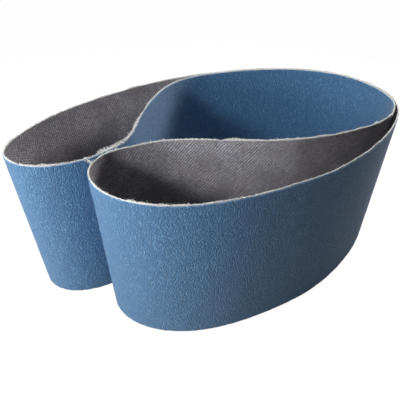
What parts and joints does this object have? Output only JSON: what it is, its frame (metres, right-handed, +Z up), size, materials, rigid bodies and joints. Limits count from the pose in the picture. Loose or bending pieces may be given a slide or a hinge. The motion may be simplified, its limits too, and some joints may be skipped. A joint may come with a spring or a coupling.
{
  "type": "sanding belt",
  "caption": "Endless sanding belt of blue abrasive on grey cloth, spliced at a slant, stood on its edge and nested in itself in a folded loop.",
  "frame": {"origin": "middle of the belt's outline seen from above, at the height of the edge it stands on", "axes": "+Z up across the belt's width, +X to the right along the longer side of the folded loop as the picture shows it, -Y towards the viewer"},
  "size_m": [0.2454, 0.188, 0.1],
  "materials": {
    "cloth_backing": "matt grey twill with pale raw edges",
    "abrasive_coat": "matt blue grain bonded in resin",
    "splice_tape": "thin satin film"
  },
  "bodies": {
    "root": {"cloth_backing": "cloth_backing", "abrasive_coat": "abrasive_coat", "splice_tape": "splice_tape"}
  },
  "joints": []
}
